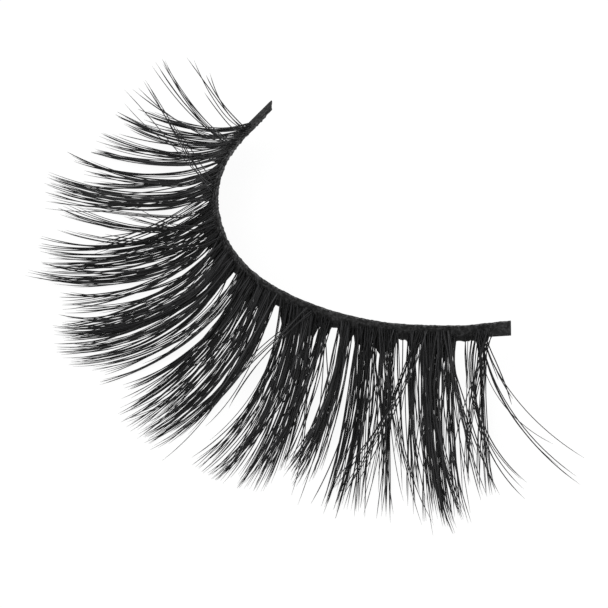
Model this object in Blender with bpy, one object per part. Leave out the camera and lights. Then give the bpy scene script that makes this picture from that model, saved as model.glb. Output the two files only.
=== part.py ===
"""A false eyelash strip of black hair on a cotton band, lying by itself on a flat surface.

Metres, +Z up. The origin is the centre of the strip's footprint, on the surface that it lies on.
The band runs from its inner corner, at low X and high Y, round to its outer corner, at high X. Its eyelid side
is the hollow side of that curve, and the hair leaves the other side, sinks to the surface and curls up again.
"""
import math

import bmesh
import bpy
import numpy as np
from mathutils import Vector

# Sizes of the band
BAND_LENGTH = 0.033
BAND_WIDTH = 0.00082
BAND_THICKNESS = 0.00024
INNER_TAB_LENGTH = 0.0026
INNER_TAB_TAPER = 0.0007
OUTER_TAB_LENGTH = 0.0015
THREAD_DIAMETER = 0.0002

# The share of the band's width left at its inner tip
INNER_TIP_SHARE = 0.35

# Sizes of the hair, with the height of its roots above the surface that the strip lies on
ROOT_HEIGHT = 0.0034
LASH_LENGTH = 0.015
LOCK_WIDTH = 0.0013
LOCK_THICKNESS = 0.00036
UPPER_LOCK_WIDTH = 0.0009
UPPER_LOCK_THICKNESS = 0.00026
ROOT_BEAD_HEIGHT = 0.0005
UPPER_BEAD_HEIGHT = 0.0004

# Clearance between neighbouring pieces
PIECE_GAP = 0.00005

# The band's course: share of its length from the inner corner, heading in degrees from +X,
# and flare, the band's lean away from upright, in degrees
BAND_COURSE = (
    (0.00, 231, 58),
    (0.10, 233, 52),
    (0.20, 254, 36),
    (0.30, 278, 25),
    (0.40, 300, 23),
    (0.50, 322, 23),
    (0.60, 335, 23),
    (0.70, 345, 23),
    (0.80, 356, 23),
    (0.90, 361, 23),
    (1.00, 367, 23),
)

# How the lower row falls: share of the band's length, then the slope in degrees at which the hair leaves the
# band downwards, and the slope at which its tip points up again
HAIR_FALL = (
    (0.00, 36, 26),
    (0.15, 40, 28),
    (0.30, 58, 38),
    (0.45, 42, 20),
    (0.60, 36, 12),
    (0.80, 38, 10),
    (1.00, 40, 10),
)

# The share of the lower row's fall that the upper row keeps
UPPER_FALL = 0.72

# A lock along its own length: share of the length, then shares of the lock's width and thickness
LOCK_SECTIONS = (
    (0.00, 1.00, 1.00),
    (0.09, 0.84, 1.00),
    (0.20, 0.68, 0.95),
    (0.36, 0.68, 0.90),
    (0.54, 0.80, 0.80),
    (0.72, 0.68, 0.66),
    (0.87, 0.42, 0.46),
    (1.00, 0.06, 0.14),
)

# Lower row: root as a share of the band's length, lean in degrees from straight out (positive towards the
# outer corner), sideways bend in degrees from root to tip, length as a share of LASH_LENGTH, and width as a
# share of LOCK_WIDTH
LOWER_LOCKS = (
    (0.072, 15, -2, 0.58, 0.6),
    (0.088, 13, 2, 0.63, 0.7),
    (0.110, 5, 0, 0.66, 0.7),
    (0.122, 4, 0, 0.60, 0.7),
    (0.141, 5, 2, 0.67, 0.8),
    (0.152, 6, 4, 0.67, 0.6),
    (0.170, 5, -1, 0.74, 0.8),
    (0.190, -2, 8, 0.68, 0.8),
    (0.228, -7, 1, 0.84, 1.2),
    (0.255, -14, 0, 0.83, 0.8),
    (0.276, 4, -9, 0.87, 1.0),
    (0.289, -15, -8, 0.84, 0.5),
    (0.302, -1, -6, 0.86, 0.8),
    (0.304, -11, -17, 0.83, 0.4),
    (0.328, 0, -18, 0.97, 0.9),
    (0.340, 3, -10, 0.82, 0.7),
    (0.343, -7, -10, 0.90, 0.8),
    (0.356, 9, -24, 0.83, 0.8),
    (0.382, 4, -21, 0.85, 0.9),
    (0.394, 11, -39, 0.90, 0.8),
    (0.408, 7, -36, 0.92, 0.8),
    (0.417, 10, -41, 0.92, 0.8),
    (0.426, 12, -41, 0.90, 0.8),
    (0.437, 12, -33, 0.81, 0.7),
    (0.450, 8, -18, 0.79, 0.8),
    (0.463, 7, -14, 0.85, 0.7),
    (0.475, 7, -12, 0.89, 0.8),
    (0.492, 12, -28, 0.91, 0.9),
    (0.511, 15, -34, 0.90, 1.0),
    (0.553, 20, -36, 0.89, 1.0),
    (0.567, 17, -28, 0.88, 0.8),
    (0.577, 20, -36, 0.88, 0.8),
    (0.589, 17, -22, 0.87, 0.9),
    (0.602, 16, -13, 0.86, 0.9),
    (0.616, 14, -11, 0.77, 0.7),
    (0.640, 3, -14, 0.78, 0.7),
    (0.674, 8, -24, 0.78, 0.9),
    (0.683, 7, -8, 0.76, 0.7),
    (0.703, 8, -12, 0.84, 0.7),
    (0.720, 6, -8, 0.89, 0.9),
    (0.738, 6, 1, 0.84, 0.4),
    (0.762, 9, 6, 0.88, 0.4),
    (0.763, 9, -13, 0.85, 0.6),
    (0.771, 3, 4, 0.86, 0.5),
    (0.808, 0, 8, 0.79, 0.8),
    (0.831, -2, 18, 0.86, 0.9),
    (0.850, -4, 20, 0.94, 1.2),
    (0.870, -3, 12, 0.89, 0.8),
    (0.882, -4, 13, 0.86, 0.6),
    (0.926, -6, 10, 0.66, 0.5),
    (0.941, 1, 8, 0.72, 0.7),
)

# Upper row, with the same columns and its width as a share of UPPER_LOCK_WIDTH
UPPER_LOCKS = (
    (0.088, -28, -4, 0.62, 0.5),
    (0.122, -13, 5, 0.66, 0.5),
    (0.130, -27, -5, 0.72, 0.8),
    (0.238, -66, 8, 0.90, 0.6),
    (0.254, 11, 3, 0.63, 0.7),
    (0.322, -36, -6, 0.55, 0.6),
    (0.430, 19, -42, 0.92, 0.5),
    (0.534, 13, -20, 0.75, 0.5),
    (0.602, -40, 36, 0.58, 0.6),
    (0.675, 9, -12, 0.95, 0.4),
    (0.753, 11, 16, 0.99, 0.6),
    (0.822, -19, -12, 0.85, 0.7),
    (0.886, 0, 9, 0.91, 0.5),
    (0.889, 8, 10, 0.82, 0.7),
    (0.934, -18, 60, 0.79, 0.5),
    (0.941, 6, 45, 0.84, 0.4),
    (0.960, -27, 24, 0.74, 0.6),
)

BAND_STEPS = 66
THREAD_SIDES = 6
FALL_STEPS = 40

# Edges sharper than this angle, in degrees, stay sharp in the shading
SHARP_ANGLE = 40

# Finishes: colour, roughness and metallic value
FINISHES = {
    "band_cotton": ((0.012, 0.012, 0.013, 1.0), 0.85, 0.0),
    "thread_cotton": ((0.030, 0.030, 0.032, 1.0), 0.75, 0.0),
    "lower_hair": ((0.008, 0.008, 0.009, 1.0), 0.42, 0.0),
    "upper_hair": ((0.010, 0.010, 0.011, 1.0), 0.42, 0.0),
}


# Tables and the band's course

def smooth_value(table, share, column):
    """Reads a column of a table on a smooth curve through its rows."""
    places = [row[0] for row in table]
    values = [row[column] for row in table]
    row = min(int(np.searchsorted(places, share, side="right")) - 1, len(places) - 2)
    span = places[row + 1] - places[row]
    ends = []
    for k in (row, row + 1):
        low, high = max(k - 1, 0), min(k + 1, len(places) - 1)
        ends.append((values[high] - values[low]) / (places[high] - places[low]) * span)
    t = (share - places[row]) / span
    start = (2 * t ** 3 - 3 * t ** 2 + 1) * values[row] + (t ** 3 - 2 * t ** 2 + t) * ends[0]
    end = (3 * t ** 2 - 2 * t ** 3) * values[row + 1] + (t ** 3 - t ** 2) * ends[1]
    return start + end


def course_value(share, column):
    """The band's heading or flare in radians, held steady along the two bare tabs."""
    inner = INNER_TAB_LENGTH / BAND_LENGTH
    outer = 1.0 - OUTER_TAB_LENGTH / BAND_LENGTH
    return math.radians(smooth_value(BAND_COURSE, min(max(share, inner), outer), column))


def rim_course():
    """Plan points of the band's upper edge, one for each step along it."""
    step = BAND_LENGTH / BAND_STEPS
    points = [np.zeros(2)]
    for index in range(BAND_STEPS):
        heading = course_value((index + 0.5) / BAND_STEPS, 1)
        points.append(points[-1] + step * np.array((math.cos(heading), math.sin(heading))))
    return np.array(points)


RIM = rim_course()
RIM_HEIGHT = ROOT_HEIGHT + BAND_WIDTH * math.cos(course_value(1.0, 2))


def band_axes(share):
    """Directions at a place on the band: straight out in plan, down its width, and out of its hair side."""
    heading = course_value(share, 1)
    flare = course_value(share, 2)
    out = np.array((math.sin(heading), -math.cos(heading), 0.0))
    up = np.array((0.0, 0.0, 1.0))
    down = out * math.sin(flare) - up * math.cos(flare)
    face = out * math.cos(flare) + up * math.sin(flare)
    return out, down, face


def band_point(share, depth, rise):
    """A point given by its share of the length, its depth below the rim and its height off the eyelid face."""
    place = share * BAND_STEPS
    low = min(int(place), BAND_STEPS - 1)
    plan = RIM[low] + (place - low) * (RIM[low + 1] - RIM[low])
    out, down, face = band_axes(share)
    return np.array((plan[0], plan[1], RIM_HEIGHT)) + down * depth + face * rise


# Bodies

def make_object(name, rings, finish):
    """A closed body through a list of rings of points, with its two ends capped."""
    mesh = bmesh.new()
    loops = [[mesh.verts.new(Vector(point)) for point in ring] for ring in rings]
    sides = len(loops[0])
    for first, second in zip(loops, loops[1:]):
        for k in range(sides):
            mesh.faces.new((first[k], first[(k + 1) % sides], second[(k + 1) % sides], second[k]))
    mesh.faces.new(loops[0][::-1])
    mesh.faces.new(loops[-1])
    bmesh.ops.recalc_face_normals(mesh, faces=mesh.faces)
    data = bpy.data.meshes.new(name)
    mesh.to_mesh(data)
    mesh.free()
    data.materials.append(finish)
    body = bpy.data.objects.new(name, data)
    bpy.context.scene.collection.objects.link(body)
    return body


def fuse(body, others):
    """Joins the others into the body, each by a Boolean union, and removes them."""
    for other in others:
        union = body.modifiers.new("union", "BOOLEAN")
        union.operation = "UNION"
        union.solver = "MANIFOLD"
        union.object = other
    graph = bpy.context.evaluated_depsgraph_get()
    fused = bpy.data.meshes.new_from_object(body.evaluated_get(graph))
    body.modifiers.clear()
    body.data = fused
    for other in others:
        bpy.data.objects.remove(other, do_unlink=True)
    return body


def shade(body):
    """Smooth shading that keeps the sharp edges."""
    body.data.shade_smooth()
    body.data.set_sharp_from_angle(angle=math.radians(SHARP_ANGLE))


def make_finish(name):
    """A Principled material from the table of finishes."""
    colour, roughness, metallic = FINISHES[name]
    finish = bpy.data.materials.new(name)
    finish.use_nodes = True
    shader = finish.node_tree.nodes["Principled BSDF"]
    shader.inputs["Base Color"].default_value = colour
    shader.inputs["Roughness"].default_value = roughness
    shader.inputs["Metallic"].default_value = metallic
    finish.diffuse_color = colour
    return finish


# The band and its thread

def band_taper(share):
    """The share of the band's width left at the inner corner's pointed tab."""
    reach = min(share * BAND_LENGTH / INNER_TAB_TAPER, 1.0)
    return INNER_TIP_SHARE + (1 - INNER_TIP_SHARE) * math.sin(reach * math.pi / 2)


def build_band():
    """The cotton band, a ribbon swept along its course."""
    rings = []
    for index in range(BAND_STEPS + 1):
        share = index / BAND_STEPS
        width = BAND_WIDTH * band_taper(share)
        corners = ((0.0, 0.0), (0.0, BAND_THICKNESS), (width, BAND_THICKNESS), (width, 0.0))
        rings.append([band_point(share, depth, rise) for depth, rise in corners])
    return make_object("band", rings, make_finish("band_cotton"))


def build_knot_thread():
    """The knotted thread that lies on the band's upper edge, swept along the same course."""
    radius = THREAD_DIAMETER / 2
    rings = []
    for index in range(BAND_STEPS + 1):
        share = index / BAND_STEPS
        ring = []
        for side in range(THREAD_SIDES):
            angle = 2 * math.pi * side / THREAD_SIDES
            depth = -PIECE_GAP - radius + radius * math.cos(angle)
            ring.append(band_point(share, depth, BAND_THICKNESS / 2 + radius * math.sin(angle)))
        rings.append(ring)
    return make_object("knot_thread", rings, make_finish("thread_cotton"))


# The two rows of hair

def hair_fall(share, root_height, thickness):
    """How far out and how far up or down a lock has come at each step, where its belly meets the surface."""
    leave = math.radians(smooth_value(HAIR_FALL, share, 1))
    lift = math.radians(smooth_value(HAIR_FALL, share, 2))
    step = LASH_LENGTH / FALL_STEPS
    slopes = [leave - (leave + lift) * (index + 0.5) / FALL_STEPS for index in range(FALL_STEPS)]
    outward = np.concatenate(([0.0], np.cumsum([step * math.cos(slope) for slope in slopes])))
    height = np.concatenate(([0.0], np.cumsum([-step * math.sin(slope) for slope in slopes])))
    return outward, height * (root_height - thickness / 2) / -height.min()


def lock_course(root, lean, bend, reach, depth, rise, fall):
    """Points at even steps along the middle of one lock, from inside its root bead to its tip."""
    out = band_axes(root)[0]
    start = band_point(root, depth, rise)
    outward, height = hair_fall(root, start[2], LOCK_THICKNESS)
    steps = np.linspace(0.0, 1.0, FALL_STEPS + 1)
    points = [start]
    plan = np.zeros(3)
    clear = 0.0
    for index in range(FALL_STEPS):
        turn = math.radians(lean + bend * (index + 0.5) / FALL_STEPS)
        ahead = np.array((out[0] * math.cos(turn) - out[1] * math.sin(turn),
                          out[0] * math.sin(turn) + out[1] * math.cos(turn), 0.0))
        ends = np.interp((reach * steps[index], reach * steps[index + 1]), steps, outward)
        plan = plan + ahead * (ends[1] - ends[0])
        clear += (ends[1] - ends[0]) * math.cos(turn)
        points.append(start + plan + np.array((0.0, 0.0, np.interp(clear, outward, height) * fall)))
    return np.array(points)


def lock_rings(course, width, thickness):
    """Rings of six points round one lock's course, at its sections."""
    rings = []
    for share, broad, thick in LOCK_SECTIONS:
        step = round(share * FALL_STEPS)
        along = course[min(step + 1, FALL_STEPS)] - course[max(step - 1, 0)]
        along = along / np.linalg.norm(along)
        side = np.array((-along[1], along[0], 0.0)) / math.hypot(along[0], along[1])
        normal = np.cross(along, side)
        half_width = side * width * broad / 2
        half_thickness = normal * thickness * thick / 2
        centre = course[step]
        rings.append([centre + half_width,
                      centre + half_width * 0.5 + half_thickness,
                      centre - half_width * 0.5 + half_thickness,
                      centre - half_width,
                      centre - half_width * 0.5 - half_thickness,
                      centre + half_width * 0.5 - half_thickness])
    return rings


def root_bead(name, first, last, depths, rises, finish):
    """The bead of knotted roots, a bar swept along the band between two shares of its length."""
    rings = []
    for index in range(BAND_STEPS + 1):
        share = first + (last - first) * index / BAND_STEPS
        corners = ((depths[0], rises[0]), (depths[0], rises[1]), (depths[1], rises[1]), (depths[1], rises[0]))
        rings.append([band_point(share, depth, rise) for depth, rise in corners])
    return make_object(name, rings, finish)


def build_row(name, locks, width, thickness, depths, rises, fall, finish):
    """One row of hair: its bead of roots with every lock fused to it, every other lock first."""
    margin = 0.5 * width / BAND_LENGTH
    first = min(row[0] for row in locks) - margin
    last = max(row[0] for row in locks) + margin
    bead = root_bead(name, first, last, depths, rises, finish)
    depth = sum(depths) / 2
    rise = sum(rises) / 2
    parts = []
    for index, (root, lean, bend, reach, broad) in enumerate(locks):
        course = lock_course(root, lean, bend, reach, depth, rise, fall)
        rings = lock_rings(course, width * broad, thickness)
        parts.append(make_object(f"{name}_{index}", rings, finish))
    return fuse(bead, parts[::2] + parts[1::2])


def build_lower_lashes():
    """The main row, knotted under the band's lower edge and resting on the surface."""
    top = BAND_WIDTH + PIECE_GAP
    middle = BAND_THICKNESS / 2
    rises = (middle - LOCK_THICKNESS / 2, middle + LOCK_THICKNESS / 2)
    return build_row("lower_lashes", LOWER_LOCKS, LOCK_WIDTH, LOCK_THICKNESS,
                     (top, top + ROOT_BEAD_HEIGHT), rises, 1.0, make_finish("lower_hair"))


def build_upper_lashes():
    """The second row, knotted to the hair side of the band, whose locks cross over the first."""
    bottom = BAND_WIDTH - PIECE_GAP
    low = PIECE_GAP + max(BAND_THICKNESS, (BAND_THICKNESS + LOCK_THICKNESS) / 2)
    return build_row("upper_lashes", UPPER_LOCKS, UPPER_LOCK_WIDTH, UPPER_LOCK_THICKNESS,
                     (bottom - UPPER_BEAD_HEIGHT, bottom), (low, low + UPPER_LOCK_THICKNESS), UPPER_FALL,
                     make_finish("upper_hair"))


def settle(bodies):
    """Moves the strip so that it lies on the surface, with its footprint's centre at the origin."""
    corners = np.array([vertex.co for body in bodies for vertex in body.data.vertices])
    low, high = corners.min(axis=0), corners.max(axis=0)
    shift = Vector((-(low[0] + high[0]) / 2, -(low[1] + high[1]) / 2, -low[2]))
    for body in bodies:
        for vertex in body.data.vertices:
            vertex.co += shift


def main():
    for old in list(bpy.data.objects):
        bpy.data.objects.remove(old, do_unlink=True)
    bodies = [build_band(), build_knot_thread(), build_lower_lashes(), build_upper_lashes()]
    settle(bodies)
    for body in bodies:
        shade(body)


main()
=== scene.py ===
"""Looks of a false eyelash strip: separate tapered hairs, glued roots, a cotton band and its knotted thread.

Metres, +Z up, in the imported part's frame. The camera looks along +Y and down at the strip on a pale floor.
"""
import math
from collections import namedtuple

import bpy
import numpy as np
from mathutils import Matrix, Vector


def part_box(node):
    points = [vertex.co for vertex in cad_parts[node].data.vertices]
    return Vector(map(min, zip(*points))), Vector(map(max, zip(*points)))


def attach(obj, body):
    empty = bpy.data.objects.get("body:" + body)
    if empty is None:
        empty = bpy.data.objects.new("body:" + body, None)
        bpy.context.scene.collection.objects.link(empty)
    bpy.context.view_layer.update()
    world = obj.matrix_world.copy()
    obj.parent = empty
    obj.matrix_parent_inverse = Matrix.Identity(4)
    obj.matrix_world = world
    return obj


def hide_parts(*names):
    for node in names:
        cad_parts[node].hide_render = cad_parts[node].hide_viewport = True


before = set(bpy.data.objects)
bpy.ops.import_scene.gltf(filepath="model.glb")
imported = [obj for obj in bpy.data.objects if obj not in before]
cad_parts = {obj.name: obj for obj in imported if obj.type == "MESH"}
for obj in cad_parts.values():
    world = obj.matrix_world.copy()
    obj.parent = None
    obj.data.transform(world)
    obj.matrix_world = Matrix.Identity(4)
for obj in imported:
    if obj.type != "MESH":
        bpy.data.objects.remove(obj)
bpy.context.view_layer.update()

SEED = 7

# Sizes of the band and its thread
BAND_LENGTH = 0.033
BAND_WIDTH = 0.00082
BAND_THICKNESS = 0.00024
INNER_TAB_LENGTH = 0.0026
INNER_TAB_TAPER = 0.0007
INNER_TIP_SHARE = 0.35
OUTER_TAB_LENGTH = 0.0015
THREAD_DIAMETER = 0.0002

# Sizes of the hair
ROOT_HEIGHT = 0.0034
LASH_LENGTH = 0.015
LOCK_THICKNESS = 0.00036
UPPER_LOCK_THICKNESS = 0.00026
UPPER_BEAD_HEIGHT = 0.0004
HAIR_RADIUS = 0.000036
HAIR_TIP_RADIUS = 0.000004

# The gap between pieces, how far past it the lower locks start, and the hairs' clearance off the floor
PIECE_GAP = 0.00005
LOCK_DROP = 0.0001
FLOOR_CLEARANCE = 0.000004

# The band's course: share of its length from the inner corner, heading in degrees from +X,
# and flare, the band's lean away from upright, in degrees
BAND_COURSE = (
    (0.00, 231, 58),
    (0.10, 233, 52),
    (0.20, 254, 36),
    (0.30, 278, 25),
    (0.40, 300, 23),
    (0.50, 322, 23),
    (0.60, 335, 23),
    (0.70, 345, 23),
    (0.80, 356, 23),
    (0.90, 361, 23),
    (1.00, 367, 23),
)

# How the lower row falls: share of the band's length, then the slope in degrees at which the hair leaves the
# band downwards, and the slope at which its tip points up again
HAIR_FALL = (
    (0.00, 36, 26),
    (0.15, 40, 28),
    (0.30, 58, 38),
    (0.45, 42, 20),
    (0.60, 36, 12),
    (0.80, 38, 10),
    (1.00, 40, 10),
)

# Share of that fall which the upper row makes
UPPER_FALL = 0.72

# Locks of the lower row: root as a share of the band's length, lean in degrees from straight out (positive
# towards the outer corner), sideways bend in degrees, length as a share of LASH_LENGTH, number of hairs,
# then the lock's width at its root, its waist and its tip, each in tenths of a millimetre
LOWER_LOCKS = (
    (0.072, 11, -2, 0.60, 10, 6, 4, 2),
    (0.088, 13, 2, 0.63, 7, 6, 4, 3),
    (0.110, 5, 0, 0.66, 8, 7, 5, 4),
    (0.118, 7, -3, 0.62, 6, 12, 10, 8),
    (0.122, 6, -4, 0.61, 7, 7, 5, 4),
    (0.141, 6, 0, 0.67, 20, 10, 7, 3),
    (0.152, 6, 3, 0.67, 13, 7, 5, 3),
    (0.172, 10, -7, 0.73, 5, 7, 4, 5),
    (0.190, 4, -12, 0.78, 3, 5, 3, 3),
    (0.192, 1, 5, 0.68, 17, 11, 6, 4),
    (0.222, -1, -3, 0.84, 32, 12, 8, 3),
    (0.240, -7, -1, 0.84, 12, 8, 5, 2),
    (0.278, -28, 14, 0.74, 2, 3, 2, 3),
    (0.286, -11, -18, 0.84, 5, 3, 3, 5),
    (0.292, -17, -8, 0.83, 5, 3, 3, 5),
    (0.304, -9, -17, 0.83, 4, 4, 3, 4),
    (0.276, 12, -17, 0.87, 20, 12, 7, 4),
    (0.302, 1, -5, 0.86, 14, 10, 7, 4),
    (0.312, 3, -15, 0.88, 14, 18, 10, 8),
    (0.328, 1, -18, 0.97, 13, 10, 6, 4),
    (0.343, -3, -17, 0.90, 8, 8, 5, 4),
    (0.337, 6, -23, 0.90, 4, 5, 3, 2),
    (0.340, 8, -18, 0.82, 9, 8, 5, 4),
    (0.356, 14, -32, 0.83, 10, 9, 5, 4),
    (0.370, 10, -27, 0.84, 12, 16, 10, 5),
    (0.382, 4, -18, 0.85, 18, 12, 9, 5),
    (0.394, 11, -39, 0.90, 16, 9, 7, 5),
    (0.392, 9, -35, 0.90, 8, 14, 9, 7),
    (0.402, 8, -36, 0.92, 13, 9, 6, 5),
    (0.409, 12, -41, 0.92, 13, 8, 6, 5),
    (0.412, 17, -44, 0.90, 12, 5, 6, 5),
    (0.443, 5, -29, 0.84, 16, 7, 7, 6),
    (0.452, 14, -26, 0.75, 12, 8, 5, 5),
    (0.462, 9, -20, 0.85, 12, 12, 7, 7),
    (0.463, 8, -14, 0.85, 13, 9, 6, 4),
    (0.477, 8, -14, 0.88, 14, 8, 6, 4),
    (0.492, 12, -28, 0.88, 18, 10, 7, 5),
    (0.503, 13, -30, 0.87, 14, 13, 9, 7),
    (0.511, 15, -34, 0.90, 16, 11, 7, 5),
    (0.518, 12, -30, 0.80, 14, 8, 6, 4),
    (0.553, 21, -33, 0.85, 15, 10, 7, 5),
    (0.567, 17, -28, 0.88, 12, 9, 6, 5),
    (0.574, 19, -32, 0.88, 14, 14, 9, 8),
    (0.577, 20, -36, 0.88, 12, 8, 6, 5),
    (0.589, 17, -22, 0.87, 11, 10, 7, 6),
    (0.596, 16, -19, 0.84, 6, 12, 8, 7),
    (0.602, 16, -13, 0.86, 10, 9, 6, 5),
    (0.614, 13, -11, 0.75, 11, 8, 6, 4),
    (0.637, 4, -15, 0.77, 14, 9, 6, 5),
    (0.632, 13, -14, 0.74, 6, 4, 4, 4),
    (0.677, 9, -29, 0.71, 13, 6, 6, 6),
    (0.674, 9, -18, 0.77, 10, 8, 6, 7),
    (0.676, 9, -22, 0.76, 13, 8, 6, 6),
    (0.683, 7, -8, 0.74, 10, 8, 6, 5),
    (0.703, 9, -12, 0.84, 12, 8, 6, 6),
    (0.716, 8, -9, 0.86, 14, 12, 7, 8),
    (0.722, 6, -8, 0.89, 19, 11, 7, 6),
    (0.730, 6, 0, 0.87, 3, 4, 3, 4),
    (0.738, 6, -2, 0.82, 3, 4, 3, 4),
    (0.748, 10, -8, 0.70, 17, 17, 5, 4),
    (0.763, 6, -8, 0.85, 9, 7, 4, 3),
    (0.762, 6, 10, 0.88, 3, 4, 3, 4),
    (0.771, 2, 5, 0.86, 5, 6, 3, 3),
    (0.784, 4, 3, 0.62, 4, 6, 5, 5),
    (0.808, 0, 8, 0.79, 12, 9, 4, 4),
    (0.808, -6, 26, 0.70, 3, 4, 3, 3),
    (0.813, 1, 2, 0.44, 10, 6, 4, 3),
    (0.834, -2, 14, 0.86, 22, 9, 7, 6),
    (0.846, -3, 16, 0.90, 14, 18, 10, 9),
    (0.850, -4, 20, 0.94, 27, 14, 9, 6),
    (0.868, -14, 4, 0.48, 10, 10, 8, 5),
    (0.870, -3, 12, 0.89, 15, 9, 6, 5),
    (0.882, -4, 12, 0.85, 8, 7, 5, 4),
    (0.913, 0, 0, 0.24, 3, 4, 3, 3),
    (0.926, -6, 10, 0.66, 3, 6, 4, 5),
    (0.941, -4, 8, 0.74, 11, 8, 3, 2),
)

# Locks of the upper row, which cross over the lower ones, with the same columns
UPPER_LOCKS = (
    (0.085, -27, -10, 0.56, 2, 2, 2, 2),
    (0.090, -29, 0, 0.64, 2, 2, 2, 2),
    (0.100, -28, 0, 0.44, 1, 1, 1, 1),
    (0.130, -27, -5, 0.73, 7, 6, 3, 3),
    (0.122, -10, 0, 0.66, 3, 5, 3, 2),
    (0.238, -66, 8, 0.90, 5, 8, 9, 6),
    (0.172, -14, -22, 0.68, 1, 1, 1, 1),
    (0.322, -36, -6, 0.55, 6, 8, 7, 5),
    (0.352, -30, -2, 0.42, 5, 7, 5, 4),
    (0.264, 11, 0, 0.62, 9, 8, 7, 6),
    (0.413, 14, -36, 0.92, 3, 4, 3, 3),
    (0.524, 13, -25, 0.75, 7, 6, 5, 6),
    (0.602, -40, 36, 0.58, 5, 5, 4, 5),
    (0.675, 9, -14, 0.94, 2, 2, 2, 2),
    (0.822, -19, -12, 0.85, 8, 8, 5, 5),
    (0.753, 11, 16, 0.99, 6, 6, 4, 4),
    (0.886, 0, 7, 0.90, 3, 5, 4, 3),
    (0.960, -27, 24, 0.74, 6, 5, 4, 5),
    (0.874, 11, 7, 0.80, 9, 7, 3, 3),
    (0.934, -18, 60, 0.84, 6, 5, 4, 4),
    (0.937, 9, 43, 0.86, 3, 2, 1, 0.4),
    (0.938, 18, 37, 0.81, 1, 1, 1, 1),
    (0.934, 3, 56, 0.64, 1, 1, 1, 1),
    (0.942, 22, 0, 0.24, 2, 2, 1, 1),
    (0.941, 24, 0, 0.36, 2, 2, 1, 1),
)

# Widths in the lock tables are in tenths of a millimetre
TENTH = 0.0001

# Rings and sides of the swept bodies
BAND_STEPS = 66
FALL_STEPS = 40
HAIR_RINGS = 21
HAIR_SIDES = 5
BAND_RINGS = 600
BAND_SIDES = 28
THREAD_RINGS = 900
THREAD_SIDES = 10
LOOP_RINGS = 9
LOOP_SIDES = 6
STRIP_RINGS = 700
TONGUE_RINGS = 9
TONGUE_SIDES = 12

# Where a hair is knotted: its place across the band as shares of the band's width, its lift off the band in
# hair radii, its scatter in its lock as a share of half the root's width, and the least depth below the rim
KNOT_PLACES = (0.15, 0.95)
KNOT_LIFTS = (0.3, 1.8)
KNOT_SCATTER = 0.3
ROOT_MARGIN = 0.00006

# A lock draws in to its waist, a share of the way along it, then opens to its tip. The spreads widen the
# tables' waists and tips, and the roots' pull reaches that many waist places along.
WAIST_PLACE = 0.2
WAIST_SPREAD = 1.5
TIP_SPREAD = 2.2
PULL_REACH = 2.2

# Wisps of a few hairs cling together. The order says how far a wisp keeps its place in the lock, the scatter
# how far it strays from that, and the limits where it stops, all as shares of half the lock's width.
WISP_MOST = 3
CROSSING_SHARE = 0.5
WAIST_ORDER = 0.45
TIP_ORDER = 0.7
PLACE_SCATTER = 0.45
WAIST_LIMIT = 1.3
TIP_LIMIT = 1.5

# Sideways slopes of a wisp, of a straying wisp and of a single hair, the share of wisps that stray, and the
# number of hairs from which a lock's wisps take their full slope
WISP_SLOPE = 0.034
STRAY_SLOPE = 0.07
HAIR_SLOPE = 0.02
STRAY_SHARE = 0.32
FULL_SLOPE_COUNT = 8

# Lengths of wisps and hairs as shares of their lock's, and the share of wisps that are short, in locks with
# more hairs than the count
WISP_LENGTH = 1.04
WISP_LENGTH_SCATTER = 0.065
SHORT_SHARE = 0.14
SHORT_LENGTHS = (0.62, 0.92)
SHORT_FROM_COUNT = 3
HAIR_LENGTH_SCATTER = 0.05
LEAST_LENGTH = 0.3

# Layers of wisps in a lock's thickness, as shares of half of it, and how much thinner the lock is at its tip
LAYER_SCATTER = 0.5
HAIR_LAYER_SCATTER = 0.2
TIP_THINNING = 0.4

# Hairs side by side in a wisp: their spacing in hair radii and its scatter, how far the spacing closes or
# turns over at the tip, and each hair's own fray, bow and tip curl
CLING_SPACING = 3.5
CLING_SCATTER = 0.00003
CLOSING_RANGE = (-0.9, 0.5)
FRAY = 0.00006
BOW = 0.00006
TIP_CURL = 0.00008
CURL_START = 0.6

# Share of a hair's length over which it turns from its knot into its lock
GATHER_SHARE = 0.3

# A hair's thickness, in hair radii, and its taper: places along it, and shares of its thickness at all of
# them but the tip
THICKNESS_RANGE = (0.7, 1.2)
TAPER_PLACES = (0.0, 0.65, 0.9, 1.0)
TAPER_SHARES = (1.0, 1.0, 0.78)

# Loose single hairs: their number, the scatter of their lean in degrees, their lengths as shares of the row
# that each follows, and how many rows at each end of the table have none
LOOSE_COUNT = 60
LOOSE_LEAN = 9
LOOSE_LENGTHS = (0.7, 1.0)
LOOSE_MARGIN_ROWS = 3

# How far the rim leaves its plain course: sunk at the inner corner, raised from the middle on, raised at the
# cut end. Each has the share of the band where it fades out or in, and the share that this takes.
INNER_SINK = 0.0002
INNER_SINK_FADE = (0.12, 0.2)
RIM_RISE = 0.00002
RIM_RISE_FADE = (0.35, 0.1)
END_RISE = 0.00017
END_RISE_FADE = (0.9, 0.1)

# The inner tab's end: its rounded rim corner, then how far its slant reaches on at the hair side and back at
# the rim, and the share of the band over which the slant fades
TIP_ROUNDING = 0.0003
TIP_REACH = 0.0005
TIP_CUT = 0.00012
TIP_FADE = 0.04

# The band's section is a box with rounded corners, in powers of a sine and a cosine. Strands run along its
# faces, and its strands and rim waver, each over its number of rings. Its ends thin over a few rings. Up to a
# share of the band the sink moves its whole width, and past that its rim alone.
FACE_ROUNDING = 0.35
EDGE_ROUNDING = 0.6
STRAND_COUNT = 6
STRAND_WAVES = 4.5
STRAND_HEIGHT = 0.000012
STRAND_SINK = 0.000014
STRAND_WAVER = 1.2
STRAND_WAVER_RINGS = 14
RIM_WAVER = 0.00003
RIM_WAVER_RINGS = 5
BAND_END_RINGS = 3
BAND_END_THINNING = 0.25
WHOLE_SINK_UP_TO = 0.5

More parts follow.
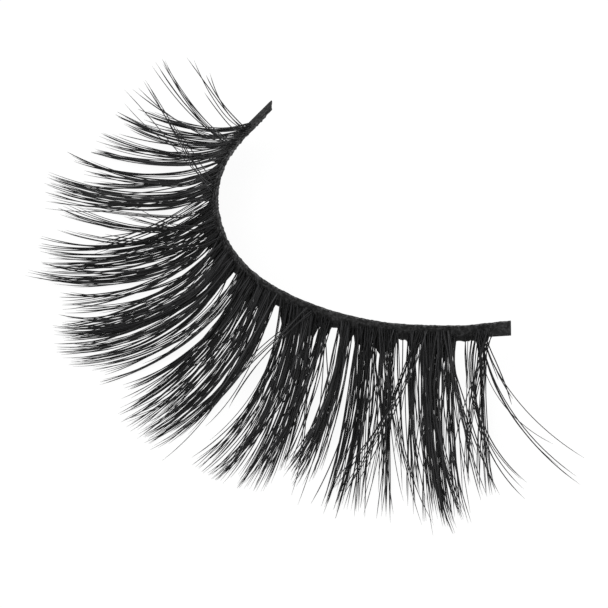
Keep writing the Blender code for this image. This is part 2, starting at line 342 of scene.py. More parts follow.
# The thread: where it starts and how deep it lies, then its radius as shares of the plain one. It swells at
# its lumps, more so near the inner corner, and the lumps and its drift each change over a number of rings.
THREAD_START = 0.025
THREAD_SINK = 0.00001
THREAD_LEAST = 0.5
THREAD_SWELL = 0.4
INNER_SWELL = 0.3
INNER_SWELL_FADE = (0.35, 0.2)
LUMP_LEVEL = 0.5
FINE_LUMPS = 0.35
FINE_LUMP_RINGS = 4
BROAD_LUMPS = 0.3
BROAD_LUMP_RINGS = 9
DRIFT_SWELL = 0.1
DRIFT_RISE = 0.00002
DRIFT_RINGS = 20
THREAD_OVAL = 1.15

# Rings over which the thread's start and the glued strip's ends taper
END_RINGS = 12

# Loops of thread over the band's hair side: the shares of the band where they start and end, their spacing
# as shares too, their slant and length, how much shorter they get, their thickness, their place off the rim
# and off the band, and their section's slant as shares down and along the band
LOOPS_START = 0.085
LOOPS_END = 0.5
LOOP_SPACING = (0.0035, 0.008)
LOOP_SLANTS = (0.00008, 0.00022)
LOOP_LENGTHS = (0.0002, 0.00042)
LOOP_SHORTENING = 0.6
LOOP_FADE = (0.3, 0.2)
LOOP_RADIUS = 0.000045
LOOP_DEPTH = 0.00006
LOOP_LIFT = 0.00002
LOOP_ARCH = 0.00003
LOOP_DOWN = 0.5
LOOP_ALONG = 0.85

# The glued strip under the band's lower edge, from one bare tab to the other
STRIP_START = 0.062
STRIP_END = 0.955
STRIP_DEPTH = 0.00028
STRIP_LEAST_DEPTH = 0.00003
STRIP_ROUGHNESS = 0.00009
BROAD_EDGE = 0.6
BROAD_EDGE_RINGS = 9
FINE_EDGE = 0.4
FINE_EDGE_RINGS = 3

# The strip's section, round from its front on the band. On the band: shares of the band's width and of its
# thickness. At the strip's low edge: height above that edge, and share of the band's thickness.
STRIP_FRONT = ((0.7, 0.9), (0.85, 1.05), (1.0, 1.05))
STRIP_EDGE = ((0.0001, 0.95), (0.0, 0.6), (0.0001, 0.15))
STRIP_BACK = ((1.0, -0.05), (0.8, 0.05))

# The glued tongue at a lock's root, for locks with more hairs than the least count: its length in a full lock
# and the range of shares of it, how wide it ends as a share of the lock's waist, how far it comes to a point,
# its thickness, how much of that it loses, its sink below the lock's middle, and the ripple of its section
TONGUE_LENGTH = 0.0016
TONGUE_LENGTHS = (0.7, 1.15)
TONGUE_LEAST_COUNT = 4
TONGUE_FULL_COUNT = 12
TONGUE_WAIST = 0.35
TONGUE_POINT = 0.9
TONGUE_THICKNESS = 0.00014
TONGUE_THINNING = 0.0001
TONGUE_SINK = 0.00007
TONGUE_RIPPLE = 0.3
RIPPLE_WAVES = 3
RIPPLE_TURN = 5
RIPPLE_SHIFT = 900

# Hair fibre: stops of its tone as place, red, green and blue, then its roughness and gloss
# The tone differs at random from hair to hair, and its lighter stops are painted sheen on the hairs that
# reach them
HAIR_TONES_AND_SHEEN = (
    (0.0, 0.004, 0.004, 0.004),
    (0.6, 0.02, 0.02, 0.021),
    (1.0, 0.06, 0.06, 0.062),
)
HAIR_ROUGHNESS = 0.45
HAIR_GLOSS = 0.2

# Cotton fibre: its noise, the noise values of its dark and its light tone, the light tone's blue against its
# red, then the nap, roughness and gloss
FIBRE_SCALE = 4500
FIBRE_DETAIL = 6
FIBRE_ROUGHNESS = 0.7
FIBRE_DARK_AT = 0.45
FIBRE_LIGHT_AT = 0.64
FIBRE_BLUE = 1.02
NAP_STRENGTH = 0.5
NAP_HEIGHT = 0.00002
COTTON_ROUGHNESS = 0.7
COTTON_GLOSS = 0.25

# Dark and light tone of each cotton piece
ROOT_TONES = (0.004, 0.018)
BAND_TONES = (0.010, 0.055)
THREAD_TONES = (0.018, 0.13)

# Floor and soft studio light
FLOOR_REACH = 2
FLOOR_GREY = 0.12
FLOOR_ROUGHNESS = 0.9
FLOOR_GLOW = 0.91
WORLD_STRENGTH = 0.45
LIGHT_SIZE = 0.4
KEY_PLACE = (-0.25, -0.15, 0.5)
KEY_POWER = 1.2
FILL_PLACE = (0.35, 0.2, 0.45)
FILL_POWER = 0.8

# Camera
CAMERA_ELEVATION = 55
CAMERA_AIM = (0.000463, -0.001707, 0.002)
CAMERA_DISTANCE = 0.4
CAMERA_NEAR = 0.01
SENSOR_WIDTH = 36
LENS_LENGTH = 361

Lock = namedtuple("Lock", "root lean bend reach count root_width waist tip")
Row = namedtuple("Row", "depth rise thickness fall")
Wisp = namedtuple("Wisp", "place waist tip slope length layer closing")

# Where each row of hair starts: depth below the rim and rise off the lid's side, its thickness and its fall
LOWER_ROW = Row(BAND_WIDTH + PIECE_GAP + LOCK_DROP, BAND_THICKNESS / 2, LOCK_THICKNESS, 1.0)
UPPER_RISE = PIECE_GAP + max(BAND_THICKNESS, (BAND_THICKNESS + LOCK_THICKNESS) / 2) + UPPER_LOCK_THICKNESS / 2
UPPER_DEPTH = BAND_WIDTH - PIECE_GAP - UPPER_BEAD_HEIGHT / 2
UPPER_ROW = Row(UPPER_DEPTH, UPPER_RISE, UPPER_LOCK_THICKNESS, UPPER_FALL)

rng = np.random.default_rng(SEED)


# Curves and noise

def ease(value):
    """A smooth step from 0 to 1."""
    value = np.clip(value, 0.0, 1.0)
    return value * value * (3 - 2 * value)


def fade_in(share, span):
    """A smooth step along the band, which starts at one share of it and takes up another."""
    start, length = span
    return ease((share - start) / length)


def smooth_value(table, share, column):
    """Reads a column of a table on a smooth curve through its rows."""
    places = [row[0] for row in table]
    values = [row[column] for row in table]
    row = min(int(np.searchsorted(places, share, side="right")) - 1, len(places) - 2)
    span = places[row + 1] - places[row]
    ends = []
    for k in (row, row + 1):
        low, high = max(k - 1, 0), min(k + 1, len(places) - 1)
        ends.append((values[high] - values[low]) / (places[high] - places[low]) * span)
    t = (share - places[row]) / span
    start = (2 * t ** 3 - 3 * t ** 2 + 1) * values[row] + (t ** 3 - 2 * t ** 2 + t) * ends[0]
    end = (3 * t ** 2 - 2 * t ** 3) * values[row + 1] + (t ** 3 - t ** 2) * ends[1]
    return start + end


def soft_noise(count, scale):
    """A smooth random course of values, about -1 to 1, which turns about every scale steps."""
    knots = rng.uniform(-1, 1, max(int(count / scale) + 4, 5))
    places = np.linspace(0, len(knots) - 1.001, count)
    low = places.astype(int)
    return knots[low] + (knots[low + 1] - knots[low]) * ease(places - low)


# Meshes

def scene_object(name, points, faces, material):
    """A smooth-shaded mesh object in the scene."""
    mesh = bpy.data.meshes.new(name)
    mesh.from_pydata(points, [], faces)
    mesh.shade_smooth()
    mesh.materials.append(material)
    body = bpy.data.objects.new(name, mesh)
    bpy.context.scene.collection.objects.link(body)
    return body


def tube_faces(count, sides, first):
    """Faces of a closed tube of rings, whose points start at the given number."""
    faces = []
    for ring in range(count - 1):
        for k in range(sides):
            a = first + ring * sides + k
            b = first + ring * sides + (k + 1) % sides
            faces.append((a, b, b + sides, a + sides))
    faces.append(tuple(first + k for k in range(sides))[::-1])
    faces.append(tuple(first + (count - 1) * sides + k for k in range(sides)))
    return faces


def sweep_object(name, rings, material):
    """A closed body through rings of points, with both ends capped."""
    rings = np.array(rings)
    count, sides = rings.shape[:2]
    return scene_object(name, rings.reshape(-1, 3).tolist(), tube_faces(count, sides, 0), material)


def join_objects(name, bodies):
    """Several meshes as one object."""
    bpy.ops.object.select_all(action="DESELECT")
    for body in bodies:
        body.select_set(True)
    bpy.context.view_layer.objects.active = bodies[0]
    bpy.ops.object.join()
    bodies[0].name = name
    bodies[0].data.name = name
    return bodies[0]


# The band's course

def course_value(share, column):
    """The band's heading or flare in radians, held steady along the two bare tabs."""
    inner = INNER_TAB_LENGTH / BAND_LENGTH
    outer = 1.0 - OUTER_TAB_LENGTH / BAND_LENGTH
    return math.radians(smooth_value(BAND_COURSE, min(max(share, inner), outer), column))


def rim_course():
    """Plan points of the band's upper edge, one for each step along it."""
    step = BAND_LENGTH / BAND_STEPS
    points = [np.zeros(2)]
    for index in range(BAND_STEPS):
        heading = course_value((index + 0.5) / BAND_STEPS, 1)
        points.append(points[-1] + step * np.array((math.cos(heading), math.sin(heading))))
    return np.array(points)


def band_axes(share):
    """Directions at a place on the band: straight out in plan, down its width, and out of its hair side."""
    heading = course_value(share, 1)
    flare = course_value(share, 2)
    out = np.array((math.sin(heading), -math.cos(heading), 0.0))
    up = np.array((0.0, 0.0, 1.0))
    down = out * math.sin(flare) - up * math.cos(flare)
    face = out * math.cos(flare) + up * math.sin(flare)
    return out, down, face


def own_band_point(share, depth, rise):
    """A point on this script's own band: share of its length, depth below the rim, rise off the lid side."""
    place = min(max(share, 0.0), 1.0) * BAND_STEPS
    low = min(int(place), BAND_STEPS - 1)
    plan = RIM[low] + (place - low) * (RIM[low + 1] - RIM[low])
    down, face = band_axes(share)[1:]
    return np.array((plan[0], plan[1], RIM_HEIGHT)) + down * depth + face * rise


def band_taper(share):
    """The share of the band's width left at the inner corner's pointed tab."""
    reach = min(share * BAND_LENGTH / INNER_TAB_TAPER, 1.0)
    return INNER_TIP_SHARE + (1 - INNER_TIP_SHARE) * math.sin(reach * math.pi / 2)


def shift_to_frame():
    """The shift from this script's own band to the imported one, from the low corners of their boxes."""
    corners = []
    for index in range(BAND_STEPS + 1):
        share = index / BAND_STEPS
        width = BAND_WIDTH * band_taper(share)
        for depth in (0.0, width):
            for rise in (0.0, BAND_THICKNESS):
                corners.append(own_band_point(share, depth, rise))
    return np.array(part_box("band")[0]) - np.array(corners).min(axis=0)


RIM = rim_course()
RIM_HEIGHT = ROOT_HEIGHT + BAND_WIDTH * math.cos(course_value(1.0, 2))
SHIFT = shift_to_frame()


def band_point(share, depth, rise):
    """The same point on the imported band."""
    return own_band_point(share, depth, rise) + SHIFT


def rim_sink(share):
    """How far the rim lies below its course: deeper near the inner corner, higher at the cut outer end."""
    inner = INNER_SINK * (1 - fade_in(share, INNER_SINK_FADE)) - RIM_RISE * fade_in(share, RIM_RISE_FADE)
    return inner - END_RISE * fade_in(share, END_RISE_FADE)


def tip_shift(share, across):
    """How the inner tab's slanting end moves a point along the band: on at its hair side, back at its rim."""
    heading = course_value(share, 1)
    fade = max(1 - share / TIP_FADE, 0.0) ** 2
    reach = fade * (TIP_REACH * across - TIP_CUT * (1 - across))
    return np.array((-math.cos(heading), -math.sin(heading), 0.0)) * reach


# The course of a lock

STEPS = np.linspace(0.0, 1.0, FALL_STEPS + 1)
GATHER = ease(STEPS / GATHER_SHARE)


def hair_fall(share, root_height):
    """How far out and how far up or down a lock has come at each step, where its belly meets the surface."""
    leave = math.radians(smooth_value(HAIR_FALL, share, 1))
    lift = math.radians(smooth_value(HAIR_FALL, share, 2))
    step = LASH_LENGTH / FALL_STEPS
    slopes = [leave - (leave + lift) * (index + 0.5) / FALL_STEPS for index in range(FALL_STEPS)]
    outward = np.concatenate(([0.0], np.cumsum([step * math.cos(slope) for slope in slopes])))
    height = np.concatenate(([0.0], np.cumsum([-step * math.sin(slope) for slope in slopes])))
    return outward, height * (root_height - LOCK_THICKNESS / 2) / -height.min()


def lock_course(lock, row):
    """Points at even steps along the middle of one lock, from its root to its tip."""
    out = band_axes(lock.root)[0]
    start = band_point(lock.root, row.depth, row.rise)
    outward, height = hair_fall(lock.root, start[2])
    points = [start]
    plan = np.zeros(3)
    clear = 0.0
    for index in range(FALL_STEPS):
        turn = math.radians(lock.lean + lock.bend * (index + 0.5) / FALL_STEPS)
        ahead = np.array((out[0] * math.cos(turn) - out[1] * math.sin(turn),
                          out[0] * math.sin(turn) + out[1] * math.cos(turn), 0.0))
        ends = np.interp((lock.reach * STEPS[index], lock.reach * STEPS[index + 1]), STEPS, outward)
        plan = plan + ahead * (ends[1] - ends[0])
        clear += (ends[1] - ends[0]) * math.cos(turn)
        drop = np.array((0.0, 0.0, np.interp(clear, outward, height) * row.fall))
        points.append(start + plan + drop)
    return np.array(points)


def side_directions(course):
    """Unit directions along a course and level to its side."""
    along = np.gradient(course, axis=0)
    along = along / np.linalg.norm(along, axis=1)[:, None]
    side = np.stack((-along[:, 1], along[:, 0], np.zeros(len(along))), axis=1)
    side = side / np.linalg.norm(side, axis=1)[:, None]
    return along, side


def course_frame(course):
    """Unit directions to the side of a course and out of its upper face."""
    along, side = side_directions(course)
    return side, np.cross(along, side)


def read_course(course, places):
    """Points of a course at the given shares of its length."""
    return np.stack([np.interp(places, STEPS, course[:, k]) for k in range(3)], axis=1)


# Hairs

def wisp_sizes(count):
    """How many hairs cling together in each wisp of a lock."""
    sizes = []
    while sum(sizes) < count:
        sizes.append(int(min(rng.integers(1, WISP_MOST + 1), count - sum(sizes))))
    return sizes


def new_wisp(place, count):
    """One wisp of a lock: its places at the root, the waist and the tip, its slope, length and layer."""
    order = -TIP_ORDER if rng.random() < CROSSING_SHARE else TIP_ORDER
    waist = np.clip(WAIST_ORDER * place + rng.normal(0, PLACE_SCATTER), -WAIST_LIMIT, WAIST_LIMIT)
    tip = np.clip(order * place + rng.normal(0, PLACE_SCATTER), -TIP_LIMIT, TIP_LIMIT)
    strays = rng.random() < STRAY_SHARE
    slope = rng.normal(0, STRAY_SLOPE if strays else WISP_SLOPE) * min(count / FULL_SLOPE_COUNT, 1.0)
    length = WISP_LENGTH - abs(rng.normal(0, WISP_LENGTH_SCATTER))
    if rng.random() < SHORT_SHARE and count > SHORT_FROM_COUNT:
        length *= rng.uniform(*SHORT_LENGTHS)
    layer = np.clip(rng.normal(0, LAYER_SCATTER), -1, 1)
    return Wisp(place, waist, tip, slope, length, layer, rng.uniform(*CLOSING_RANGE))


def knot_spot(share, row):
    """Where on the band's hair side one hair is knotted: its depth below the rim and its rise."""
    height = BAND_THICKNESS + HAIR_RADIUS * rng.uniform(*KNOT_LIFTS)
    depth = row.depth - rng.uniform(*KNOT_PLACES) * BAND_WIDTH
    return max(depth, rim_sink(share) + ROOT_MARGIN), max(row.rise, height)


def across_lock(root, waist, tip):
    """A hair's sideways course in its lock: in from its root to the waist, then straight out to its tip."""
    line = waist + (tip - waist) * (STEPS - WAIST_PLACE) / (1 - WAIST_PLACE)
    pull = np.clip(1 - STEPS / (PULL_REACH * WAIST_PLACE), 0.0, 1.0) ** 2
    return line + (root - line[0]) * pull


def hair_offset(lock, wisp, sideways, cling):
    """How far a hair lies to the side of its lock's course at each step."""
    fray = rng.normal(0, FRAY) if lock.count > 1 else 0.0
    waist = wisp.waist * lock.waist * TENTH / 2 * WAIST_SPREAD + cling
    tip = wisp.tip * lock.tip * TENTH / 2 * TIP_SPREAD + cling * wisp.closing + fray
    offset = across_lock(sideways, waist, tip)
    slope = wisp.slope + rng.normal(0, HAIR_SLOPE)
    offset = offset + slope * LASH_LENGTH * lock.reach * (STEPS - GATHER_SHARE) * GATHER
    offset = offset + rng.normal(0, BOW) * np.sin(math.pi * STEPS)
    return offset + rng.normal(0, TIP_CURL) * np.clip((STEPS - CURL_START) / (1 - CURL_START), 0, 1) ** 2


def hair_path(lock, row, wisp, spacing, course, side, normal):
    """The centre line of one hair of a wisp, from its knot on the band to its tip."""
    scatter = rng.uniform(-KNOT_SCATTER, KNOT_SCATTER)
    share = lock.root + (wisp.place + scatter) * lock.root_width * TENTH / 2 / BAND_LENGTH
    shift = band_point(share, *knot_spot(share, row)) - course[0]
    sideways = shift @ side[0]
    cling = spacing * HAIR_RADIUS * CLING_SPACING + rng.normal(0, CLING_SCATTER)
    offset = hair_offset(lock, wisp, sideways, cling)
    layer = wisp.layer + rng.normal(0, HAIR_LAYER_SCATTER)
    height = layer * row.thickness / 2 * (1 - TIP_THINNING * STEPS)
    path = course + (shift - sideways * side[0]) * (1 - GATHER)[:, None]
    path = path + side * offset[:, None] + normal * (height * GATHER)[:, None]
    length = max(wisp.length - abs(rng.normal(0, HAIR_LENGTH_SCATTER)), LEAST_LENGTH)
    return read_course(path, np.linspace(0.0, length, HAIR_RINGS))


def lock_hairs(lock, row):
    """Centre lines of the hairs of one lock, each an array of points."""
    course = lock_course(lock, row)
    side, normal = course_frame(course)
    sizes = wisp_sizes(lock.count)
    hairs = []
    for number, size in enumerate(sizes):
        place = (number + 0.5) / len(sizes) * 2 - 1 if lock.count > 1 else 0.0
        wisp = new_wisp(place, lock.count)
        for hair in range(size):
            spacing = hair - (size - 1) / 2
            hairs.append(hair_path(lock, row, wisp, spacing, course, side, normal))
    return hairs


def loose_lock():
    """A single hair that follows a lock of the lower row, with a lean and a length of its own."""
    last = len(LOWER_LOCKS) - LOOSE_MARGIN_ROWS
    lock = Lock(*LOWER_LOCKS[rng.integers(LOOSE_MARGIN_ROWS, last)])
    lean = lock.lean + rng.normal(0, LOOSE_LEAN)
    return Lock(lock.root, lean, lock.bend, lock.reach * rng.uniform(*LOOSE_LENGTHS), 1, 1, 1, 1)


def lower_paths():
    """Centre lines of all hairs of the lower row, then of the loose ones."""
    paths = []
    for values in LOWER_LOCKS:
        paths += lock_hairs(Lock(*values), LOWER_ROW)
    for number in range(LOOSE_COUNT):
        paths += lock_hairs(loose_lock(), LOWER_ROW)
    return paths


def upper_paths():
    """Centre lines of all hairs of the upper row."""
    paths = []
    for values in UPPER_LOCKS:
        paths += lock_hairs(Lock(*values), UPPER_ROW)
    return paths


def hair_radii(path):
    """The hair's radius at each ring: even for most of its length, then drawn out to a fine tip."""
    places = np.linspace(0.0, 1.0, len(path))
    radius = HAIR_RADIUS * rng.uniform(*THICKNESS_RANGE)
    return radius * np.interp(places, TAPER_PLACES, (*TAPER_SHARES, HAIR_TIP_RADIUS / radius))


def tube_rings(path, radii):
    """Rings of points round one hair."""
    side, normal = course_frame(path)
    angles = np.arange(HAIR_SIDES) * 2 * math.pi / HAIR_SIDES
    ring = side[:, None, :] * np.cos(angles)[None, :, None]
    ring = ring + normal[:, None, :] * np.sin(angles)[None, :, None]
    return path[:, None, :] + ring * radii[:, None, None]


def hair_object(name, paths, material):
    """One mesh that holds many tapered hairs, each with a tone of its own: its darkness, and painted sheen on
    the lighter ones.
    """
    points = []
    faces = []
    tones = []
    for number, path in enumerate(paths):
        radii = hair_radii(path)
        path[:, 2] = np.maximum(path[:, 2], radii + FLOOR_CLEARANCE)
        block = tube_rings(path, radii).reshape(-1, 3)
        faces += tube_faces(HAIR_RINGS, HAIR_SIDES, number * len(block))
        points.append(block)
        # A random tone for each hair: low tones give its darkness, high tones give it painted sheen
        tones.append(np.full(len(block), rng.random()))
    body = scene_object(name, np.concatenate(points).tolist(), faces, material)
    tone = body.data.attributes.new("tone", "FLOAT", "POINT")
    tone.data.foreach_set("value", np.concatenate(tones).astype(np.float32))
    return body


# Glued roots

def strip_section(low):
    """Depth and rise of each point of the glued strip's section, whose low edge lies at the given depth."""
    front = [(width * BAND_WIDTH, rise * BAND_THICKNESS) for width, rise in STRIP_FRONT]
    edge = [(low - height, rise * BAND_THICKNESS) for height, rise in STRIP_EDGE]
    back = [(width * BAND_WIDTH, rise * BAND_THICKNESS) for width, rise in STRIP_BACK]
    return front + edge + back


def strip_rings():
    """The glued strip under the band's lower edge, which ties the roots together."""
    edge = BROAD_EDGE * soft_noise(STRIP_RINGS, BROAD_EDGE_RINGS)
    edge = edge + FINE_EDGE * soft_noise(STRIP_RINGS, FINE_EDGE_RINGS)
    rings = []
    for index in range(STRIP_RINGS):
        share = STRIP_START + (STRIP_END - STRIP_START) * index / (STRIP_RINGS - 1)
        near_end = min(index, STRIP_RINGS - 1 - index) / END_RINGS
        reach = (STRIP_DEPTH + STRIP_ROUGHNESS * edge[index]) * min(near_end, 1.0) ** 0.5
        low = BAND_WIDTH + max(reach, STRIP_LEAST_DEPTH)
        rings.append([band_point(share, depth, rise) for depth, rise in strip_section(low)])
    return rings


def tongue_section(lock, done, place, centre, across, up):
    """One ring of a tongue, flat and rippled, where the given share of its length is done."""
    half = (lock.root_width * (1 - done) + lock.waist * TONGUE_WAIST * done) * TENTH / 2
    half *= 1 - TONGUE_POINT * done ** 3
    thick = (TONGUE_THICKNESS - TONGUE_THINNING * done) / 2
    shift = RIPPLE_TURN * place + lock.root * RIPPLE_SHIFT
    ring = []
    for k in range(TONGUE_SIDES):
        angle = 2 * math.pi * k / TONGUE_SIDES
        ripple = 1 + TONGUE_RIPPLE * math.sin(RIPPLE_WAVES * angle + shift)
        rise = thick * math.sin(angle) * ripple - TONGUE_SINK
        ring.append(centre + across * half * math.cos(angle) + up * rise)
    return ring


def tongue_rings(lock):
    """The glued root of one lock: a flat tongue that narrows from the band into the lock."""
    course = lock_course(lock, LOWER_ROW)
    side, normal = course_frame(course)
    full = TONGUE_LENGTH * min(lock.count / TONGUE_FULL_COUNT, 1.0) ** 0.5
    places = np.linspace(0.0, full * rng.uniform(*TONGUE_LENGTHS) / (lock.reach * LASH_LENGTH), TONGUE_RINGS)
    centres, sides, ups = (read_course(values, places) for values in (course, side, normal))
    rings = []
    for index, place in enumerate(places):
        done = index / (TONGUE_RINGS - 1)
        rings.append(tongue_section(lock, done, place, centres[index], sides[index], ups[index]))
    return rings


def root_web(material):
    """The glued strip with the tongues of all locks but the thinnest."""
    bodies = [sweep_object("strip", strip_rings(), material)]
    for lock in (Lock(*values) for values in LOWER_LOCKS):
        if lock.count > TONGUE_LEAST_COUNT:
            bodies.append(sweep_object("tongue", tongue_rings(lock), material))
    return join_objects("root_web", bodies)


# Band and thread

def rounded(value, power):
    """A sine or cosine pushed out towards a box's sides."""
    return np.sign(value) * abs(value) ** power


def band_section(share, end, wave, waver):
    """One ring of the band: its depth across the width and its rise, with the strands' ridges."""
    cut = TIP_ROUNDING * (1 - math.sin(min(share * BAND_LENGTH / TIP_ROUNDING, 1.0) * math.pi / 2))
    sink = rim_sink(share)
    full = BAND_THICKNESS / 2 * (1 - BAND_END_THINNING + BAND_END_THINNING * end) - STRAND_SINK
    ring = []
    for k in range(BAND_SIDES):
        angle = 2 * math.pi * (k + 0.5) / BAND_SIDES
        across = (1 + rounded(math.cos(angle), FACE_ROUNDING)) / 2
        strand = min(int(across * STRAND_COUNT), STRAND_COUNT - 1)
        ridge = STRAND_HEIGHT * math.sin(across * 2 * math.pi * STRAND_WAVES + STRAND_WAVER * waver[strand])
        depth = cut + (BAND_WIDTH - cut) * across + RIM_WAVER * wave * (1 - across)
        depth += sink if share < WHOLE_SINK_UP_TO else sink * (1 - across)
        rise = BAND_THICKNESS / 2 + rounded(math.sin(angle), EDGE_ROUNDING) * (full + ridge)
        ring.append(band_point(share, depth, rise) + tip_shift(share, across))
    return ring


def band_rings():
    """The cotton band with rounded edges, fine strands along it and an uneven edge."""
    wave = soft_noise(BAND_RINGS, RIM_WAVER_RINGS)
    waver = np.array([soft_noise(BAND_RINGS, STRAND_WAVER_RINGS) for strand in range(STRAND_COUNT)])
    rings = []
    for index in range(BAND_RINGS):
        end = min(min(index, BAND_RINGS - 1 - index) / BAND_END_RINGS, 1.0)
        rings.append(band_section(index / (BAND_RINGS - 1), end, wave[index], waver[:, index]))
    return rings


def thread_radii(lumps, drift):
    """The thread's place along the band and its radius, at each of its rings."""
    radii = []
    for index in range(THREAD_RINGS):
        share = THREAD_START + (1 - THREAD_START) * index / (THREAD_RINGS - 1)
        swell = THREAD_SWELL + INNER_SWELL * (1 - fade_in(share, INNER_SWELL_FADE))
        radius = THREAD_DIAMETER / 2 * (THREAD_LEAST + swell * lumps[index] + DRIFT_SWELL * drift[index])
        radii.append((share, radius * min((index + 1) / END_RINGS, 1.0) ** 0.5))
    return radii


def thread_rings():
    """The thread on the band's rim, which swells at its knots."""
    lumps = LUMP_LEVEL + FINE_LUMPS * soft_noise(THREAD_RINGS, FINE_LUMP_RINGS)
    lumps = lumps + BROAD_LUMPS * soft_noise(THREAD_RINGS, BROAD_LUMP_RINGS)
    drift = soft_noise(THREAD_RINGS, DRIFT_RINGS)
    rings = []
    for (share, radius), stray in zip(thread_radii(lumps, drift), drift):
        ring = []
        for k in range(THREAD_SIDES):
            angle = 2 * math.pi * k / THREAD_SIDES
            depth = THREAD_SINK + radius * math.cos(angle) - THREAD_DIAMETER / 4 + rim_sink(share)
            rise = BAND_THICKNESS / 2 + DRIFT_RISE * stray + radius * math.sin(angle) * THREAD_OVAL
            ring.append(band_point(share, depth, rise) + tip_shift(share, 0.0))
        rings.append(ring)
    return rings


def loop_rings(share, slant, length):
    """One short loop of thread that lies over the band's hair side, slanting along it."""
    rings = []
    for index in range(LOOP_RINGS):
        done = index / (LOOP_RINGS - 1)
        arch = math.sin(done * math.pi)
        place = share + slant * (done - 0.5) / BAND_LENGTH
        lift = BAND_THICKNESS + LOOP_LIFT + LOOP_ARCH * arch
        centre = band_point(place, LOOP_DEPTH + length * done, lift)
        down, face = band_axes(place)[1:]
        across = down * LOOP_DOWN + np.cross(face, down) * LOOP_ALONG
        radius = LOOP_RADIUS * (0.5 + 0.5 * arch)
        ring = []
        for k in range(LOOP_SIDES):
            angle = 2 * math.pi * k / LOOP_SIDES
            ring.append(centre + across * radius * math.cos(angle) + face * radius * math.sin(angle))
        rings.append(ring)
    return rings


def rim_thread(material):
    """The thread along the rim, with its loops over the inner half of the band."""
    bodies = [sweep_object("thread", thread_rings(), material)]
    share = LOOPS_START
    while share < LOOPS_END:
        fade = 1 - LOOP_SHORTENING * fade_in(share, LOOP_FADE)
        slant = rng.uniform(*LOOP_SLANTS)
        rings = loop_rings(share, slant, rng.uniform(*LOOP_LENGTHS) * fade)
        bodies.append(sweep_object("knot", rings, material))
        share += rng.uniform(*LOOP_SPACING)
    return join_objects("rim_thread", bodies)


# Materials

def new_material(name, roughness):
    """A material with its node tree and its shader."""
    material = bpy.data.materials.new(name)
    material.use_nodes = True
    shader = material.node_tree.nodes["Principled BSDF"]
    shader.inputs["Roughness"].default_value = roughness
    return material, material.node_tree, shader


def hair_material(name):
    """Black fibre whose darkness differs from hair to hair, with painted sheen on the lighter hairs."""
    material, tree, shader = new_material(name, HAIR_ROUGHNESS)
    shader.inputs["Specular IOR Level"].default_value = HAIR_GLOSS
    tone = tree.nodes.new("ShaderNodeAttribute")
    tone.attribute_name = "tone"
    # The ramp's lighter stops paint sheen onto the hairs whose tone falls there
    ramp = tree.nodes.new("ShaderNodeValToRGB")
    stops = ramp.color_ramp.elements
    stops.new(HAIR_TONES_AND_SHEEN[1][0])
    for stop, (place, red, green, blue) in zip(stops, HAIR_TONES_AND_SHEEN):
        stop.position = place
        stop.color = (red, green, blue, 1)
    tree.links.new(tone.outputs["Fac"], ramp.inputs["Fac"])
    tree.links.new(ramp.outputs["Color"], shader.inputs["Base Color"])
    return material


def cotton_material(name, tones):
    """Black cotton: fibres of uneven darkness with a fine nap."""
    material, tree, shader = new_material(name, COTTON_ROUGHNESS)
    shader.inputs["Specular IOR Level"].default_value = COTTON_GLOSS
    dark, light = tones
    place = tree.nodes.new("ShaderNodeTexCoord")
    fibre = tree.nodes.new("ShaderNodeTexNoise")
    fibre.inputs["Scale"].default_value = FIBRE_SCALE
    fibre.inputs["Detail"].default_value = FIBRE_DETAIL
    fibre.inputs["Roughness"].default_value = FIBRE_ROUGHNESS
    tree.links.new(place.outputs["Object"], fibre.inputs["Vector"])
    ramp = tree.nodes.new("ShaderNodeValToRGB")
    low, high = ramp.color_ramp.elements
    low.position = FIBRE_DARK_AT
    low.color = (dark, dark, dark, 1)
    high.position = FIBRE_LIGHT_AT
    high.color = (light, light, light * FIBRE_BLUE, 1)
    tree.links.new(fibre.outputs["Fac"], ramp.inputs["Fac"])
    tree.links.new(ramp.outputs["Color"], shader.inputs["Base Color"])
    nap = tree.nodes.new("ShaderNodeBump")
    nap.inputs["Strength"].default_value = NAP_STRENGTH
    nap.inputs["Distance"].default_value = NAP_HEIGHT
    tree.links.new(fibre.outputs["Fac"], nap.inputs["Height"])
    tree.links.new(nap.outputs["Normal"], shader.inputs["Normal"])
    return material


def floor_material():
    """A pale floor that glows evenly, so that it stays white round the strip."""
    material, tree, shader = new_material("floor_white", FLOOR_ROUGHNESS)
    shader.inputs["Base Color"].default_value = (FLOOR_GREY, FLOOR_GREY, FLOOR_GREY, 1)
    shader.inputs["Emission Color"].default_value = (1, 1, 1, 1)
    shader.inputs["Emission Strength"].default_value = FLOOR_GLOW
    return material


# Floor, light and camera

def add_floor():
    """The plain floor, on the surface that the strip lies on."""
    reach = FLOOR_REACH
    corners = [(-reach, -reach, 0), (reach, -reach, 0), (reach, reach, 0), (-reach, reach, 0)]
    mesh = bpy.data.meshes.new("floor")
    mesh.from_pydata(corners, [], [(0, 1, 2, 3)])
    mesh.materials.append(floor_material())
    floor = bpy.data.objects.new("floor", mesh)
    bpy.context.scene.collection.objects.link(floor)
    return floor


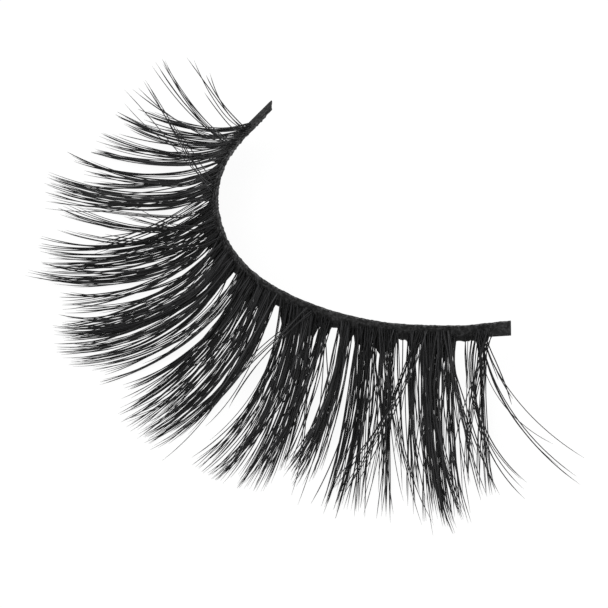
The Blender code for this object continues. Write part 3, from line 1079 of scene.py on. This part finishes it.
def add_world():
    """Even white light from all round."""
    world = bpy.data.worlds.new("studio")
    bpy.context.scene.world = world
    world.use_nodes = True
    world.node_tree.nodes["Background"].inputs["Color"].default_value = (1, 1, 1, 1)
    world.node_tree.nodes["Background"].inputs["Strength"].default_value = WORLD_STRENGTH


def add_light(name, place, power):
    """A soft square light that faces the strip."""
    data = bpy.data.lights.new(name, "AREA")
    data.shape = "SQUARE"
    data.size = LIGHT_SIZE
    data.energy = power
    light = bpy.data.objects.new(name, data)
    light.location = place
    light.rotation_euler = (-Vector(place)).to_track_quat("-Z", "Y").to_euler()
    bpy.context.scene.collection.objects.link(light)


def add_camera():
    """The camera in front of the strip, looking down at it along +Y."""
    data = bpy.data.cameras.new("camera")
    data.lens = LENS_LENGTH
    data.sensor_width = SENSOR_WIDTH
    data.clip_start = CAMERA_NEAR
    camera = bpy.data.objects.new("camera", data)
    elevation = math.radians(CAMERA_ELEVATION)
    back = Vector((0, -math.cos(elevation), math.sin(elevation)))
    camera.location = Vector(CAMERA_AIM) + CAMERA_DISTANCE * back
    camera.rotation_euler = (math.pi / 2 - elevation, 0, 0)
    bpy.context.scene.collection.objects.link(camera)
    bpy.context.scene.camera = camera


# Build

lower = hair_object("lower_hair", lower_paths(), hair_material("lower_hair_fibre"))
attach(lower, "root")
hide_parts("lower_lashes")
upper = hair_object("upper_hair", upper_paths(), hair_material("upper_hair_fibre"))
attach(upper, "root")
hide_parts("upper_lashes")

web = root_web(cotton_material("glued_root", ROOT_TONES))
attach(web, "root")
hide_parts("lower_lashes")

band = sweep_object("band_cloth", band_rings(), cotton_material("band_cotton_finish", BAND_TONES))
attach(band, "root")
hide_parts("band")

thread = rim_thread(cotton_material("thread_cotton_finish", THREAD_TONES))
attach(thread, "root")
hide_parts("knot_thread")

floor = add_floor()
add_world()
add_light("key_light", KEY_PLACE, KEY_POWER)
add_light("fill_light", FILL_PLACE, FILL_POWER)
add_camera()
bpy.context.scene.view_settings.view_transform = "Standard"
